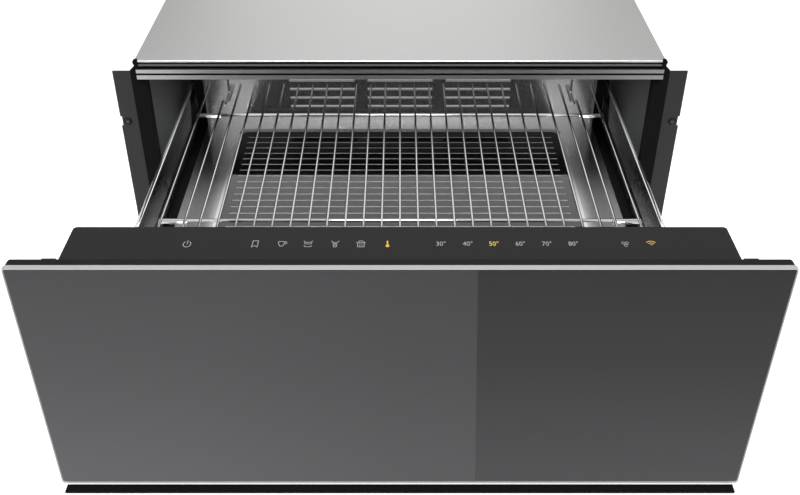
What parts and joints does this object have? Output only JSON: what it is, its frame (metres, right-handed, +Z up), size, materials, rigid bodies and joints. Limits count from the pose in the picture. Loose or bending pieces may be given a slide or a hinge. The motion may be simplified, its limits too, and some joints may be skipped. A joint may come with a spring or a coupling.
{
  "type": "warming drawer",
  "caption": "Built-in warming drawer, pulled open: dark glass front, control panel on its top edge, steel tray with hot plate, lift-out wire rack and telescopic slides in a sheet-metal carcass.",
  "frame": {"origin": "centre of the base panel's underside, on the surface that the carcass stands on", "axes": "+X to the right across the front, +Y from the front to the back, +Z up"},
  "size_m": [0.59, 0.87, 0.2618],
  "materials": {
    "brushed_steel": "fine brushed",
    "galvanised_steel": "plain zinc-coated sheet",
    "slide_steel": "zinc-plated",
    "dark_coated_steel": "dark satin coat",
    "black_plastic": "matte black",
    "seal_rubber": "matte",
    "bead_rubber": "smooth grey",
    "control_finish": "fine matte anthracite",
    "board_green": "solder mask",
    "front_glass": "dark back-coated glass",
    "side_glass": "clear",
    "plate_glass": "black glass with printed lines",
    "heater_mat": "silicone mat",
    "insulation": "mineral fibre",
    "wire_chrome": "polished",
    "screw_steel": "zinc-plated",
    "fan_metal": "plain",
    "motor_dark": "satin",
    "element_dark": "heat-darkened",
    "latch_plastic": "smooth"
  },
  "bodies": {
    "carcass": {"top_panel": "brushed_steel", "left_side_panel": "galvanised_steel", "right_side_panel": "galvanised_steel", "base_panel": "galvanised_steel", "rear_panel": "galvanised_steel", "front_rail": "brushed_steel", "rail_seal": "seal_rubber", "rail_bead": "bead_rubber", "rail_end_caps": "seal_rubber", "left_flange": "dark_coated_steel", "right_flange": "dark_coated_steel", "left_gasket_strip": "black_plastic", "right_gasket_strip": "black_plastic", "lower_front_rail": "dark_coated_steel", "left_slide_bracket": "galvanised_steel", "right_slide_bracket": "galvanised_steel", "left_cabinet_rail": "slide_steel", "right_cabinet_rail": "slide_steel", "terminal_box": "black_plastic", "cable_gland": "black_plastic", "latch_body": "black_plastic", "carcass_screws": "screw_steel"},
    "drawer": {"front_glass": "front_glass", "front_frame": "black_plastic", "base_lip": "black_plastic", "control_panel": "control_finish", "control_housing": "control_finish", "control_board": "board_green", "left_front_bracket": "dark_coated_steel", "right_front_bracket": "dark_coated_steel", "inner_front_panel": "brushed_steel", "chassis_pan": "galvanised_steel", "floor_pan": "brushed_steel", "hot_plate": "plate_glass", "plate_heater": "heater_mat", "insulation_board": "insulation", "left_side_glass": "side_glass", "right_side_glass": "side_glass", "left_side_profile": "black_plastic", "right_side_profile": "black_plastic", "rear_wall": "brushed_steel", "duct_cover": "galvanised_steel", "fan_motor": "motor_dark", "air_heater": "element_dark", "left_drawer_rail": "slide_steel", "right_drawer_rail": "slide_steel", "rack_studs": "brushed_steel", "temperature_probe": "screw_steel", "drawer_screws": "screw_steel"},
    "left_middle": {"left_middle_rail": "slide_steel"},
    "right_middle": {"right_middle_rail": "slide_steel"},
    "rack": {"rack_wires": "wire_chrome", "rack_bars": "wire_chrome"},
    "fan": {"fan_wheel": "fan_metal"},
    "latch": {"latch_plunger": "latch_plastic"}
  },
  "joints": [
    {"name": "drawer_slide", "type": "slide", "parent": "carcass", "child": "drawer", "axis": [0, -1, 0], "range_m": [-0.308, 0]},
    {"name": "left_middle_slide", "type": "slide", "parent": "carcass", "child": "left_middle", "axis": [0, -1, 0], "range_m": [-0.154, 0]},
    {"name": "right_middle_slide", "type": "slide", "parent": "carcass", "child": "right_middle", "axis": [0, -1, 0], "range_m": [-0.154, 0]},
    {"name": "rack_lift", "type": "slide", "parent": "drawer", "child": "rack", "axis": [0, 0, 1], "range_m": [0, 0.06]},
    {"name": "fan_spin", "type": "hinge", "parent": "drawer", "child": "fan", "pos_m": [0, -0.0737, 0.0956], "axis": [0, 1, 0], "continuous": true},
    {"name": "latch_push", "type": "slide", "parent": "carcass", "child": "latch", "axis": [0, 1, 0], "range_m": [0, 0.003], "stiffness_N_per_m": 300}
  ],
  "couplings": [
    {"joint": "left_middle_slide", "follows": "drawer_slide", "ratio": 0.5},
    {"joint": "right_middle_slide", "follows": "drawer_slide", "ratio": 0.5}
  ]
}
